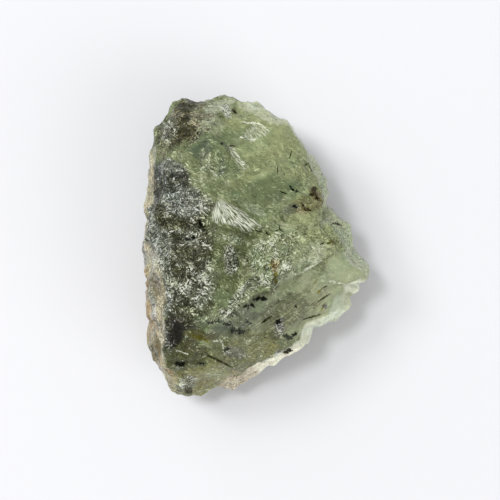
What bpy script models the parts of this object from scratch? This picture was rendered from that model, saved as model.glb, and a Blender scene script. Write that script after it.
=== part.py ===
"""A raw prehnite: one broken, uncut stone that lies on its flattest side.

The stone is a single closed solid. Its surface is found by looking out from a point inside it, its
heart, in every direction and stopping at the nearest of its broken faces. Chips, ledges and hollows are
then cut into that surface, the mesh is thinned, and the underside is cut off flat where the stone rests.
Lengths are in millimetres until the points go into the mesh. Bearings are degrees anticlockwise from +X.
"""

import math

import bmesh
import bpy
import numpy as np
from mathutils import Matrix

MM = 0.001

# Driving dimensions of the stone as it lies.
LENGTH = 47.0  # along Y
WIDTH = 35.4  # along X
HEIGHT = 19.4  # along Z

NODE_NAME = "prehnite"
GRID_CUTS = 63  # each side of the starting cube is cut into one more square than this, both ways
KEPT_SHARE = 0.2  # share of the triangles that stay when the mesh is thinned
CUTTER_SIZE = (80.0, 80.0, 20.0)  # the block that takes off what lies below the floor

HEART = np.array((-1.0, 0.0, 8.5))
REACH = np.array((17.0, 23.0, 10.5))  # half sizes of the egg whose points give the directions
EDGE_SOFTNESS = 0.28  # how far two faces blend where they meet
WALL_TURN = 0.30  # how far the side walls turn about the heart as they rise, in radians
FAR = 90.0  # stands for a face that a ray never meets
NEARLY_ZERO = 1e-6

# The outline seen from above, anticlockwise from the thin tip on the right.
OUTLINE = (
    (18.1, -3.8), (17.8, -2.6), (16.5, -1.2), (15.4, 0.3), (15.3, 1.9), (14.2, 4.0),
    (12.9, 5.7), (11.1, 6.5), (10.9, 8.4), (10.6, 10.2), (9.6, 12.0), (7.0, 16.3),
    (5.9, 17.2), (4.8, 19.0), (3.6, 20.1), (0.0, 21.9), (-2.6, 22.2), (-5.1, 23.3),
    (-7.3, 22.9), (-12.3, 22.2), (-13.4, 21.6), (-14.5, 19.0), (-15.6, 16.8), (-16.5, 14.5),
    (-17.0, 9.5), (-17.1, 7.3), (-17.4, 5.7), (-17.6, 2.2), (-17.0, -2.2), (-16.8, -6.5),
    (-16.9, -10.3), (-16.1, -14.0), (-15.3, -16.8), (-14.2, -19.0), (-12.5, -22.0), (-11.3, -23.2),
    (-10.2, -24.0), (-7.3, -22.9), (-3.7, -22.1), (0.5, -20.0), (5.3, -17.4), (7.4, -15.7),
    (9.2, -12.7), (10.9, -11.9), (12.8, -11.3), (13.9, -9.8), (14.5, -7.4), (15.8, -6.6),
    (16.1, -5.2), (17.5, -4.9),
)

# The side walls: bearing, height of the widest line, lean inwards above it and below it (mm per mm).
WALLS = (
    (-12, 5.2, 0.35, 0.95),
    (20, 6.6, 0.35, 0.50),
    (60, 8.6, 0.40, 0.45),
    (95, 7.2, 0.35, 0.70),
    (125, 9.2, 0.30, 0.38),
    (180, 7.4, 0.20, 0.36),
    (225, 5.0, 0.26, 0.75),
    (265, 4.4, 0.35, 0.95),
    (310, 8.0, 0.50, 0.70),
)

# The broken faces of the top: a point on each, the bearing it falls towards, and its fall (mm per mm).
TOP_FACES = {
    "main": ((-6.0, 0.0, 18.9), 352, 0.24),
    "left_flank": ((-9.5, 0.0, 18.6), 176, 0.30),
    "left_rim": ((-14.7, -3.0, 16.6), 186, 2.20),
    "brow": ((-3.0, 8.8, 18.4), 82, 0.40),
    "brow_left": ((-11.0, 13.0, 16.6), 125, 0.60),
    "top_edge": ((-4.0, 19.5, 13.2), 92, 1.10),
    "right_shoulder": ((5.0, 9.0, 15.9), 30, 0.60),
    "right_edge": ((11.5, 4.5, 12.6), 22, 1.30),
    "lower_right": ((10.7, -1.5, 14.2), 316, 0.70),
    "lower_edge": ((5.0, -13.5, 13.2), 302, 1.30),
    "foot": ((-6.0, -12.0, 18.0), 268, 0.50),
    "foot_end": ((-8.0, -18.3, 14.4), 262, 1.05),
    "foot_left": ((-13.0, -16.5, 14.9), 228, 1.20),
}

# The broken faces of the underside: a point on each, the bearing it rises towards, and its rise.
BOTTOM_FACES = {
    "bed": ((0.0, 0.0, -1.0), 0, 0.0),
    "right_undercut": ((5.0, -2.0, 0.0), 350, 0.42),
    "top_undercut": ((0.0, 13.0, 0.0), 80, 0.50),
    "left_undercut": ((-11.5, 2.0, 0.0), 170, 0.70),
    "foot_undercut": ((-4.0, -14.0, 0.0), 262, 0.55),
    "low_left": ((-13.5, -9.0, 0.0), 204, 1.00),
    "low_top_left": ((-9.5, 15.5, 0.0), 122, 0.95),
    "low_right": ((8.3, 4.8, 0.0), 30, 1.36),
    "low_tip": ((9.5, -6.5, 0.0), 332, 0.75),
}

# Rounded hollows and swellings of the top: middle, half length, half width, bearing, height.
MOUNDS = {
    "middle_dip": ((-2.9, -2.6), 5.2, 2.3, 80, -1.9),
    "dip_head": ((-3.5, 2.0), 3.0, 1.2, 0, -0.4),
    "knob": ((3.2, -1.2), 4.2, 3.4, 60, 1.0),
    "fan_swell": ((-3.6, 5.2), 3.6, 2.0, 150, 0.7),
    "brow_dip": ((-3.6, 12.0), 4.5, 2.2, 20, -0.7),
    "right_dip": ((6.5, 6.0), 3.0, 1.6, 20, -0.8),
    "flank_swell": ((-9.5, -6.0), 4.5, 2.6, 95, 0.7),
    "flank_dip": ((-10.5, 1.0), 3.0, 1.5, 10, -0.6),
    "foot_dip": ((-1.5, -14.5), 4.0, 2.0, 10, -0.6),
    "cheek": ((6.0, -9.0), 4.5, 2.4, 35, 0.5),
}

# Ledges of the top. Going from start to end the ground drops to the right, then climbs back.
LEDGES = {
    "under_fan": ((-7.6, 2.9), (2.2, 3.2), 0.7, 3.0),
    "flank_top": ((-15.0, 9.4), (-6.0, 8.2), 0.5, 2.5),
    "diagonal": ((-5.0, -11.2), (11.0, -1.3), 0.6, 3.5),
    "tip_seam": ((10.5, -6.6), (17.2, -5.0), 0.8, 3.0),
    "foot_step": ((-13.2, -18.4), (-3.2, -18.9), 0.6, 2.5),
    "shoulder": ((4.5, 7.4), (12.0, 6.0), 0.5, 2.5),
    "knob_side": ((2.0, 1.0), (-1.6, -9.0), 0.5, 2.0),
}

# Patches that broke smoothly: middle, half length, half width, bearing, share of the chips that is lost.
SMOOTH_PATCHES = {
    "top_right": ((4.0, 13.0), 8.0, 4.5, 125, 0.75),
    "middle": ((-2.8, -2.6), 5.5, 2.6, 80, 0.55),
    "blue_band": ((2.5, 8.0), 4.5, 2.4, 10, 0.55),
    "lower_right": ((10.0, -6.8), 8.0, 4.2, 38, 0.75),
    "foot": ((-6.0, -20.5), 6.0, 2.0, 0, 0.45),
}

# Chips all over the stone, in layers: how far across one is, how deep, and the layer's salt.
LARGE_CHIPS = (8.0, 1.0, 11)
MIDDLE_CHIPS = (3.6, 0.75, 23)
SMALL_CHIPS = (1.8, 0.32, 37)
SWELL_SIZE = 6.0
SWELL_HEIGHT = 0.35
SWELL_SALT = 51

# A bowl's lean and its sinking, as shares of its size, and the level that the bowls are counted from.
BOWL_LEAN = 0.9
BOWL_SINK = 0.35
BOWL_LEVEL = 0.45

# The placed forms of the top fade out over the side walls, between these heights.
TOP_STARTS = 7.0
TOP_FULL = 10.0

# A ledge's edge wanders by this much, at this size, and its step is this wide.
LEDGE_WANDER = 0.45
LEDGE_WANDER_SIZE = 1.6
LEDGE_WANDER_SALT = 71
LEDGE_WIDTH = 0.9
LEDGE_END = 1.5


def hashed(cells, salt):
    """A number from 0 to 1 for each whole-number cell, the same on every run."""
    cell_primes = np.array((73856093, 19349663, 83492791))
    salt_prime, first_mixer, second_mixer = 374761393, 1274126177, 668265263
    low_bits = 0xFFFFFFFF
    mixed = np.bitwise_xor.reduce(cells * cell_primes, axis=-1) ^ (salt * salt_prime)
    mixed &= low_bits
    mixed = ((mixed ^ (mixed >> 13)) * first_mixer) & low_bits
    mixed = ((mixed ^ (mixed >> 16)) * second_mixer) & low_bits
    return (mixed ^ (mixed >> 15)) / (low_bits + 1.0)


def smooth_noise(points, size, salt):
    """Soft lumps of about this size, from -1 to 1."""
    scaled = points / size
    cell = np.floor(scaled).astype(np.int64)
    inside = scaled - cell
    ease = inside * inside * inside * (inside * (inside * 6 - 15) + 10)
    total = np.zeros(len(points))
    for corner in np.ndindex(2, 2, 2):
        corner = np.array(corner)
        weight = np.prod(np.where(corner, ease, 1 - ease), axis=1)
        total += weight * hashed(cell + corner, salt)
    return total * 2 - 1


def chips(points, size, depth, salt):
    """Shallow bowls of about this size that meet in sharp crests, about this deep."""
    scaled = points / size
    cell = np.floor(scaled).astype(np.int64)
    lowest = np.full(len(points), FAR)
    for step in np.ndindex(3, 3, 3):
        there = cell + np.array(step) - 1
        middle = there + np.stack([hashed(there, salt + k) for k in range(3)], axis=1)
        away = scaled - middle
        lean = np.stack([hashed(there, salt + k) for k in range(3, 6)], axis=1) - 0.5
        bowl = (away**2).sum(axis=1) + BOWL_LEAN * (lean * away).sum(axis=1)
        lowest = np.minimum(lowest, bowl + BOWL_SINK * hashed(there, salt + 6))
    return depth * (lowest - BOWL_LEVEL)


def face_reach(directions, anchor, bearing, slope, side=1.0):
    """How far each ray from the heart goes before it meets a face of the top (side 1) or underside (-1)."""
    turn = math.radians(bearing)
    normal = np.array((slope * math.cos(turn), slope * math.sin(turn), side))
    facing = directions @ normal
    distance = (np.array(anchor) - HEART) @ normal
    return np.where(facing > NEARLY_ZERO, distance / np.maximum(facing, NEARLY_ZERO), FAR)


def wall_reach(directions):
    """How far each ray goes before it meets the side walls, which stand on the outline."""
    bearings = np.arctan2(directions[:, 1], directions[:, 0])
    walls = np.array(WALLS, float)
    widest, lean_up, lean_down = (
        np.interp(np.degrees(bearings), walls[:, 0], walls[:, k], period=360) for k in (1, 2, 3)
    )
    # The walls turn a little as they rise, so that the corners of the outline run up them at a slant.
    bearings = bearings + WALL_TURN * (directions[:, 2] - (widest - HEART[2]) / REACH[0])
    flat = np.stack([np.cos(bearings), np.sin(bearings)], axis=1)
    corners = np.array(OUTLINE) - HEART[:2]
    corner_bearings = np.arctan2(corners[:, 1], corners[:, 0])
    order = np.argsort(corner_bearings)
    corners, corner_bearings = corners[order], corner_bearings[order]
    wrapped = (bearings + math.pi) % (2 * math.pi) - math.pi
    after = np.searchsorted(corner_bearings, wrapped) % len(corners)
    # The outline is straight between its corners, so each ray meets the chord that it passes through.
    start = corners[after - 1]
    chord = corners[after] - start
    radius = (start[:, 0] * chord[:, 1] - start[:, 1] * chord[:, 0]) / (
        flat[:, 0] * chord[:, 1] - flat[:, 1] * chord[:, 0]
    )
    level = np.hypot(directions[:, 0], directions[:, 1])
    rise = HEART[2] - widest
    up = level + lean_up * directions[:, 2]
    down = level - lean_down * directions[:, 2]
    return [
        np.where(up > NEARLY_ZERO, (radius - lean_up * rise) / np.maximum(up, NEARLY_ZERO), FAR),
        np.where(down > NEARLY_ZERO, (radius + lean_down * rise) / np.maximum(down, NEARLY_ZERO), FAR),
    ]


def stone_reach(directions):
    """The distance from the heart to the broken faces along each unit direction, edges a little soft."""
    reaches = wall_reach(directions)
    reaches += [face_reach(directions, *face) for face in TOP_FACES.values()]
    reaches += [face_reach(directions, *face, side=-1.0) for face in BOTTOM_FACES.values()]
    reaches = np.minimum(np.array(reaches), FAR)
    nearest = reaches.min(axis=0)
    return nearest - EDGE_SOFTNESS * np.log(np.exp((nearest - reaches) / EDGE_SOFTNESS).sum(axis=0))


def mound(points, middle, half_length, half_width, bearing, height):
    """A soft swelling, or a hollow where the height is negative."""
    turn = math.radians(bearing)
    away = points[:, :2] - np.array(middle)
    along = (away[:, 0] * math.cos(turn) + away[:, 1] * math.sin(turn)) / half_length
    across = (away[:, 1] * math.cos(turn) - away[:, 0] * math.sin(turn)) / half_width
    return height * np.exp(-(along**2 + across**2))


def ledge(points, start, end, drop, reach):
    """A step down to the right of the line from start to end, which fades over its reach."""
    line = np.array(end) - np.array(start)
    length = math.hypot(*line)
    line /= length
    away = points[:, :2] - np.array(start)
    wander = LEDGE_WANDER * smooth_noise(points, LEDGE_WANDER_SIZE, LEDGE_WANDER_SALT)
    along = away @ line
    right = away[:, 0] * line[1] - away[:, 1] * line[0] + wander
    ends = np.clip(np.minimum(along, length - along) / LEDGE_END + 0.5, 0, 1)
    step = np.clip(right / LEDGE_WIDTH + 0.5, 0, 1)
    return -drop * ends * step * np.exp(-np.maximum(right, 0) / reach)


def relief(points):
    """How far the broken surface stands out from its plain faces."""
    upper = np.clip((points[:, 2] - TOP_STARTS) / (TOP_FULL - TOP_STARTS), 0, 1)
    placed = sum(mound(points, *values) for values in MOUNDS.values())
    placed = placed + sum(ledge(points, *values) for values in LEDGES.values())
    smooth = sum(mound(points, *values) for values in SMOOTH_PATCHES.values())
    chipped = 1 - upper * np.clip(smooth, 0, 1)
    fine = chips(points, *MIDDLE_CHIPS) + chips(points, *SMALL_CHIPS)
    swell = SWELL_HEIGHT * smooth_noise(points, SWELL_SIZE, SWELL_SALT)
    return upper * placed + chips(points, *LARGE_CHIPS) + chipped * fine + swell


def stone_points(directions):
    """The stone's surface point for each direction."""
    unit = directions / np.linalg.norm(directions, axis=1)[:, None]
    base = stone_reach(unit)
    return HEART + unit * (base + relief(HEART + unit * base[:, None]))[:, None]


def fitted(points):
    """The points moved and stretched a little, so that the stone has its driving dimensions."""
    low, high = points.min(axis=0), points.max(axis=0)
    size = np.array((WIDTH, LENGTH, HEIGHT))
    stretch = size / np.array((high[0] - low[0], high[1] - low[1], high[2]))
    middle = np.array(((low[0] + high[0]) / 2, (low[1] + high[1]) / 2, 0.0))
    return (points - middle) * stretch


def clear_scene():
    """Removes whatever the file opened with."""
    for item in list(bpy.data.objects):
        bpy.data.objects.remove(item)


def stone_material():
    """Waxy, translucent green stone."""
    material = bpy.data.materials.new("prehnite_green")
    material.use_nodes = True
    shader = material.node_tree.nodes["Principled BSDF"]
    shader.inputs["Base Color"].default_value = (0.21, 0.25, 0.14, 1.0)
    shader.inputs["Roughness"].default_value = 0.4
    shader.inputs["Metallic"].default_value = 0.0
    return material


def stone_mesh():
    """A ball of even squares, each point moved along its ray to the stone's surface."""
    build = bmesh.new()
    bmesh.ops.create_cube(build, size=2.0)
    bmesh.ops.subdivide_edges(build, edges=build.edges[:], cuts=GRID_CUTS, use_grid_fill=True)
    points = np.array([vert.co for vert in build.verts])
    evened = np.tan(points * math.pi / 4)  # makes the squares about equal once they are on a ball
    points = stone_points(evened / np.linalg.norm(evened, axis=1)[:, None] * REACH)
    for vert, point in zip(build.verts, fitted(points) * MM):
        vert.co = point
    bmesh.ops.triangulate(build, faces=build.faces[:])
    bmesh.ops.recalc_face_normals(build, faces=build.faces[:])
    mesh = bpy.data.meshes.new(NODE_NAME)
    build.to_mesh(mesh)
    build.free()
    mesh.materials.append(stone_material())
    return mesh


def make_bed_cutter():
    """A block whose upper side is the floor. It takes off what the stone has below that."""
    build = bmesh.new()
    bmesh.ops.create_cube(build, size=1.0)
    mesh = bpy.data.meshes.new("bed_cutter")
    build.to_mesh(mesh)
    build.free()
    mesh.transform(Matrix.Diagonal((*(side * MM for side in CUTTER_SIZE), 1.0)))
    cutter = bpy.data.objects.new("bed_cutter", mesh)
    cutter.location.z = -CUTTER_SIZE[2] / 2 * MM
    cutter.display_type = "WIRE"
    cutter.hide_render = True
    bpy.context.scene.collection.objects.link(cutter)
    return cutter


def make_stone(cutter):
    """The stone: its fine squares thinned to fewer triangles, then cut off flat where it rests."""
    stone = bpy.data.objects.new(NODE_NAME, stone_mesh())
    bpy.context.scene.collection.objects.link(stone)
    thin = stone.modifiers.new("thin", "DECIMATE")
    thin.decimate_type = "COLLAPSE"
    thin.ratio = KEPT_SHARE
    bed = stone.modifiers.new("bed", "BOOLEAN")
    bed.operation = "DIFFERENCE"
    bed.object = cutter
    return stone


def main():
    clear_scene()
    make_stone(make_bed_cutter())


main()
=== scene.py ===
import math
from functools import reduce

import bpy
import numpy as np
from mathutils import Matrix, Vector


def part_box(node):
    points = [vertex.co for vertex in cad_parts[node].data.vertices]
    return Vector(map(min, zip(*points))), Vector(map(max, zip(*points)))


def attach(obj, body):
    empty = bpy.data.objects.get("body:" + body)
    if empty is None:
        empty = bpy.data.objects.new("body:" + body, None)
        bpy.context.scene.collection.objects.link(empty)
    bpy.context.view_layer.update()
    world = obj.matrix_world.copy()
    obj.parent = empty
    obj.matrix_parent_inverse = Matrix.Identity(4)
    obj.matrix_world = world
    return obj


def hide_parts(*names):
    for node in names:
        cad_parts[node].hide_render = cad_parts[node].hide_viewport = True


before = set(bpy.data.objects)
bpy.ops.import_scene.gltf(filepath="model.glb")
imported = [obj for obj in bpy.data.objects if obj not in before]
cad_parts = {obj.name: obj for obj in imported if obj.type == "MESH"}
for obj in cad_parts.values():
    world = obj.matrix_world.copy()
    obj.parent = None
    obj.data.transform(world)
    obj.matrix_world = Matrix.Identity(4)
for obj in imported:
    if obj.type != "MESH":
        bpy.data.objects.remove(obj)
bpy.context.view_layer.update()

mm = 0.001
tiny = 1e-6  # keeps divisors off 0

# all that is worth changing about the stone; lengths in mm, bearings in degrees anticlockwise from +X
prehnite = {
    "squares": 220,  # each half of the stone is a grid of this many squares both ways
    "heart": (-1.0, 0.0, 8.5),  # the point inside that every ray starts from
    "egg": (17.0, 23.0, 10.5),  # half sizes of the egg that spreads the rays
    "softness": 0.40,  # how far two faces blend where they meet
    "wallTurn": 0.30,  # how far the side walls turn as they rise, in radians
    "far": 90.0,  # stands for a plane that a ray never meets
    "closeness": 0.5,  # within about this much of the nearest face, another one counts beside it
    "topFade": 2.0,  # the top's finishes fade out over this much below the widest line
    # places on the top are measured as seen from this point, on a level plane at this height
    "eye": (-1.0, -0.5, 223.2),
    "measuredAt": 6.5,
    # the outline seen from above, anticlockwise from the thin tip
    "outline": (
        (18.1, -3.8), (17.8, -2.6), (16.5, -1.2), (15.4, 0.3), (15.3, 1.9), (14.2, 4.0),
        (12.9, 5.7), (11.1, 6.5), (10.9, 8.4), (10.6, 10.2), (9.6, 12.0), (7.0, 16.3),
        (5.9, 17.2), (4.8, 19.0), (3.6, 20.1), (0.0, 21.9), (-2.6, 22.2), (-5.1, 23.3),
        (-7.3, 22.9), (-12.3, 22.2), (-13.4, 21.6), (-14.5, 19.0), (-15.6, 16.8), (-16.5, 14.5),
        (-17.0, 9.5), (-17.1, 7.3), (-17.4, 5.7), (-17.6, 2.2), (-17.0, -2.2), (-16.8, -6.5),
        (-16.9, -10.3), (-16.1, -14.0), (-15.3, -16.8), (-14.2, -19.0), (-12.5, -22.0), (-11.3, -23.2),
        (-10.2, -24.0), (-7.3, -22.9), (-3.7, -22.1), (0.5, -20.0), (5.3, -17.4), (7.4, -15.7),
        (9.2, -12.7), (10.9, -11.9), (12.8, -11.3), (13.9, -9.8), (14.5, -7.4), (15.8, -6.6),
        (16.1, -5.2), (17.5, -4.9),
    ),
    # side walls: bearing, height of the widest line, lean inwards above it and below it
    "walls": (
        (-12, 5.2, 0.35, 0.95), (20, 6.6, 0.35, 0.50), (60, 8.6, 0.40, 0.45),
        (95, 7.2, 0.35, 0.70), (125, 9.2, 0.30, 0.38), (180, 7.4, 0.20, 0.36),
        (225, 5.0, 0.26, 0.75), (265, 4.4, 0.35, 0.95), (310, 8.0, 0.50, 0.70),
    ),
    # broken faces of the top: a point on each, the bearing it falls towards, its fall
    "topFaces": {
        "main": ((-6.0, 0.0, 18.9), 352, 0.24),
        "leftFlank": ((-9.5, 0.0, 18.6), 176, 0.30),
        "leftRim": ((-14.7, -3.0, 16.6), 186, 2.20),
        "brow": ((-3.0, 8.8, 18.4), 82, 0.40),
        "browLeft": ((-11.0, 13.0, 16.6), 125, 0.60),
        "topEdge": ((-4.0, 19.5, 13.2), 92, 1.10),
        "rightShoulder": ((5.0, 9.0, 15.9), 30, 0.60),
        "rightEdge": ((11.5, 4.5, 12.6), 22, 1.30),
        "lowerRight": ((10.7, -1.5, 14.2), 316, 0.70),
        "lowerEdge": ((5.0, -13.5, 13.2), 302, 1.30),
        "foot": ((-6.0, -12.0, 18.0), 268, 0.50),
        "footEnd": ((-8.0, -18.3, 14.4), 262, 1.05),
        "footLeft": ((-13.0, -16.5, 14.9), 228, 1.20),
    },
    # broken faces of the underside: a point on each, the bearing it rises towards, its rise
    "lowFaces": {
        "bed": ((0.0, 0.0, -1.0), 0, 0.0),
        "rightUndercut": ((5.0, -2.0, 0.0), 350, 0.42),
        "topUndercut": ((0.0, 13.0, 0.0), 80, 0.50),
        "leftUndercut": ((-11.5, 2.0, 0.0), 170, 0.70),
        "footUndercut": ((-4.0, -14.0, 0.0), 262, 0.55),
        "lowLeft": ((-13.5, -9.0, 0.0), 204, 1.00),
        "lowTopLeft": ((-9.5, 15.5, 0.0), 122, 0.95),
        "lowRight": ((8.3, 4.8, 0.0), 30, 1.36),
        "lowTip": ((9.5, -6.5, 0.0), 332, 0.75),
    },
    # hollows and swellings of the top: middle, half length, half width, bearing, height
    "mounds": {
        "middleDip": ((-2.9, -2.6), 5.2, 2.3, 80, -1.9),
        "dipHead": ((-3.5, 2.0), 3.0, 1.2, 0, -0.4),
        "knob": ((3.2, -1.2), 4.2, 3.4, 60, 1.0),
        "fanSwell": ((-3.6, 5.2), 3.6, 2.0, 150, 0.7),
        "browDip": ((-3.6, 12.0), 4.5, 2.2, 20, -0.7),
        "rightDip": ((6.5, 6.0), 3.0, 1.6, 20, -0.8),
        "flankSwell": ((-9.5, -6.0), 4.5, 2.6, 95, 0.7),
        "flankDip": ((-10.5, 1.0), 3.0, 1.5, 10, -0.6),
        "footDip": ((-1.5, -14.5), 4.0, 2.0, 10, -0.6),
        "cheek": ((6.0, -9.0), 4.5, 2.4, 35, 0.5),
    },
    # ledges of the top: from start to end the ground drops to the right, then climbs back
    "ledges": {
        "underFan": ((-7.6, 2.9), (2.2, 3.2), 0.7, 3.0),
        "flankTop": ((-15.0, 9.4), (-6.0, 8.2), 0.5, 2.5),
        "diagonal": ((-5.0, -11.2), (11.0, -1.3), 0.6, 3.5),
        "tipSeam": ((10.5, -6.6), (17.2, -5.0), 0.8, 3.0),
        "footStep": ((-13.2, -18.4), (-3.2, -18.9), 0.6, 2.5),
        "shoulder": ((4.5, 7.4), (12.0, 6.0), 0.5, 2.5),
        "knobSide": ((2.0, 1.0), (-1.6, -9.0), 0.5, 2.0),
    },
    "ledgeWander": (0.45, 1.6, 71),  # how far a ledge's edge wanders, at what size, and its salt
    "ledgeWidth": 0.55,
    "ledgeEnd": 1.5,
    # patches that broke smoothly: middle, half length, half width, bearing, share of the chips lost
    "smoothPatches": {
        "topRight": ((4.0, 13.0), 8.0, 4.5, 125, 0.50),
        "middle": ((-2.8, -2.6), 5.5, 2.6, 80, 0.55),
        "blueBand": ((2.5, 8.0), 4.5, 2.4, 10, 0.55),
        "lowerRight": ((10.0, -6.8), 8.0, 4.2, 38, 0.75),
        "foot": ((-6.0, -20.5), 6.0, 2.0, 0, 0.45),
        "brow": ((-9.5, 18.5), 6.0, 4.0, 35, 0.45),
    },
    "topFades": (7.0, 10.0),  # placed forms fade out down the walls between these heights
    # chips: how far across one is, how deep, and the layer's salt
    "largeChips": (8.0, 1.0, 11),
    "middleChips": (3.6, 1.40, 23),
    "smallChips": (1.8, 0.66, 37),
    "swell": (6.0, 0.35, 51),  # size, height, salt
    "bowl": (0.9, 0.35, 0.45),  # a chip's lean and its sinking, as shares of its size, and its level
    # finer breakage, which only the rough patches have in full
    "grainChips": (1.15, 0.23, 83),
    "crumbChips": (0.60, 0.12, 97),
    "crestReach": 8,  # rounds of averaging for the wide crests
    "crestFine": 0.060,  # the height in mm that counts as a full fine crest, and a full wide one
    "crestWide": 0.024,
    "bedPits": (2.6, 0.30, 131, 1.6),  # shallow pits of the side it lies on: size, depth, salt, contrast
    # the colours that flecks take: whitened broken grains, and, where pale or silver, partly painted glints
    "fleckAndGlintColours": {
        "pale": (0.74, 0.77, 0.68),
        "leaf": (0.50, 0.55, 0.32),
        "silver": (0.68, 0.71, 0.67),
        "gold": (0.58, 0.51, 0.32),
        "dun": (0.42, 0.38, 0.26),
        "cream": (0.80, 0.77, 0.62),
    },
    # each finish: its ground, its flecks' colour, then the amount of flecks, dark specks and grain,
    # and its roughness
    "finishes": {
        "deepGreen": ((0.052, 0.070, 0.038), "leaf", 0.05, 0.06, 0.14, 0.18),
        "green": ((0.142, 0.170, 0.082), "leaf", 0.14, 0.12, 0.36, 0.24),
        "yellowGlass": ((0.234, 0.261, 0.129), "leaf", 0.05, 0.06, 0.16, 0.18),
        "blueGlass": ((0.102, 0.133, 0.064), "leaf", 0.04, 0.06, 0.10, 0.18),
        "oliveGlass": ((0.092, 0.110, 0.045), "leaf", 0.14, 0.14, 0.26, 0.20),
        "greyGlass": ((0.096, 0.111, 0.070), "silver", 0.04, 0.08, 0.05, 0.16),
        "sparkling": ((0.202, 0.233, 0.130), "pale", 0.33, 0.16, 0.85, 0.20),
        "grainy": ((0.212, 0.240, 0.120), "leaf", 0.23, 0.16, 0.62, 0.24),
        "frosted": ((0.380, 0.412, 0.276), "pale", 0.26, 0.10, 0.45, 0.22),
        "whiteFlecks": ((0.120, 0.130, 0.088), "pale", 0.33, 0.26, 1.00, 0.20),
        "paleGlass": ((0.222, 0.250, 0.146), "leaf", 0.04, 0.04, 0.05, 0.18),
        "paleTip": ((0.275, 0.305, 0.178), "leaf", 0.03, 0.02, 0.04, 0.18),
        "milky": ((0.660, 0.680, 0.540), "pale", 0.04, 0.00, 0.05, 0.24),
        "cream": ((0.880, 0.855, 0.690), "cream", 0.10, 0.08, 0.15, 0.45),
        "tan": ((0.205, 0.198, 0.115), "gold", 0.20, 0.24, 0.80, 0.40),
        "footOlive": ((0.140, 0.141, 0.063), "pale", 0.16, 0.14, 0.35, 0.26),
        "sugary": ((0.400, 0.430, 0.340), "pale", 0.40, 0.20, 0.90, 0.22),
        "footTan": ((0.214, 0.206, 0.082), "pale", 0.20, 0.14, 0.45, 0.26),
        "brownGlass": ((0.120, 0.108, 0.042), "leaf", 0.14, 0.24, 0.40, 0.26),
        "oliveBright": ((0.085, 0.084, 0.022), "leaf", 0.14, 0.14, 0.40, 0.22),
        "gilded": ((0.400, 0.330, 0.150), "gold", 0.34, 0.12, 0.80, 0.24),
        "umber": ((0.034, 0.035, 0.022), "silver", 0.16, 0.44, 1.00, 0.20),
        "rosyCream": ((0.560, 0.490, 0.370), "cream", 0.18, 0.34, 0.60, 0.45),
        "lilac": ((0.120, 0.120, 0.122), "silver", 0.26, 0.24, 0.80, 0.20),
        "olive": ((0.052, 0.052, 0.018), "pale", 0.15, 0.26, 0.50, 0.26),
        "brownDark": ((0.033, 0.032, 0.009), "dun", 0.17, 0.34, 1.00, 0.28),
        "flank": ((0.049, 0.053, 0.027), "pale", 0.26, 0.34, 1.00, 0.18),
        "darkFlank": ((0.028, 0.030, 0.012), "leaf", 0.10, 0.40, 0.90, 0.20),
        "silver": ((0.024, 0.028, 0.020), "silver", 0.16, 0.46, 1.00, 0.16),
        "glitter": ((0.160, 0.176, 0.148), "silver", 0.34, 0.34, 1.00, 0.18),
        "black": ((0.003, 0.003, 0.002), "silver", 0.03, 0.46, 0.90, 0.22),
        "rind": ((0.500, 0.455, 0.315), "cream", 0.20, 0.26, 0.50, 0.55),
        "rindOrange": ((0.440, 0.310, 0.140), "gold", 0.18, 0.24, 0.45, 0.60),
        "rindGrey": ((0.360, 0.350, 0.310), "silver", 0.28, 0.34, 0.60, 0.45),
        # painted light glowing through the thin right edges
        "paleRimGlow": ((0.430, 0.466, 0.318), "pale", 0.14, 0.12, 0.50, 0.24),
    },
    # where each lies on the top: finish, middle, half length, half width, bearing, strength;
    # later ones lie over earlier ones
    "placed": (
        ("grainy", (9.5, 3.0), 8.0, 5.5, 20, 1.0),
        ("yellowGlass", (3.0, 14.0), 9.5, 5.8, 125, 1.0),
        ("grainy", (8.4, 9.6), 4.4, 2.4, 115, 0.8),
        ("milky", (1.6, 20.2), 3.4, 0.7, -28, 0.35),
        ("flank", (-12.2, -1.0), 12.5, 6.0, 93, 1.0),
        ("brownDark", (-10.6, 18.4), 5.6, 3.6, 35, 1.0),
        ("green", (-9.4, 14.9), 4.2, 1.9, 5, 0.8),
        ("blueGlass", (-8.2, 16.0), 2.6, 1.3, 10, 0.6),
        ("deepGreen", (-8.3, 14.8), 1.9, 1.4, 0, 0.9),
        ("tan", (-8.3, 20.0), 1.8, 2.2, 0, 0.65),
        ("frosted", (-5.6, 21.4), 2.4, 1.2, 10, 0.7),
        ("sugary", (-4.6, 21.0), 1.0, 0.7, 110, 0.95),
        ("milky", (-0.6, 21.6), 2.2, 0.6, -10, 0.25),
        ("silver", (-14.0, 10.0), 3.6, 3.4, 110, 0.95),
        ("glitter", (-13.6, 12.7), 2.0, 1.1, 0, 0.6),
        ("darkFlank", (-14.6, 7.6), 2.4, 0.9, 120, 0.8),
        ("whiteFlecks", (-13.4, 17.9), 2.2, 1.3, 60, 0.6),
        ("glitter", (-11.4, 6.8), 3.2, 2.2, -5, 0.85),
        ("silver", (-15.3, 6.6), 2.6, 1.0, 92, 0.6),
        ("whiteFlecks", (-8.2, 7.0), 1.8, 1.2, -10, 0.5),
        ("sparkling", (-7.4, 11.4), 2.2, 1.5, 25, 0.7),
        ("green", (-8.6, 10.4), 1.8, 1.3, 0, 0.75),
        ("whiteFlecks", (-4.1, 14.7), 1.3, 0.5, -52, 0.6),
        ("whiteFlecks", (-5.2, 12.2), 1.6, 0.5, 75, 0.5),
        ("blueGlass", (-3.4, 17.0), 3.6, 1.7, 20, 0.6),
        ("blueGlass", (1.4, 9.0), 5.2, 1.7, 12, 0.9),
        ("green", (-0.6, 12.6), 2.8, 1.5, 10, 0.6),
        ("blueGlass", (4.0, 8.3), 2.6, 1.1, 0, 0.7),
        ("frosted", (0.0, 6.1), 1.8, 0.8, -20, 0.5),
        ("yellowGlass", (-2.2, 8.8), 3.0, 0.8, -45, 0.35),
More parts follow.
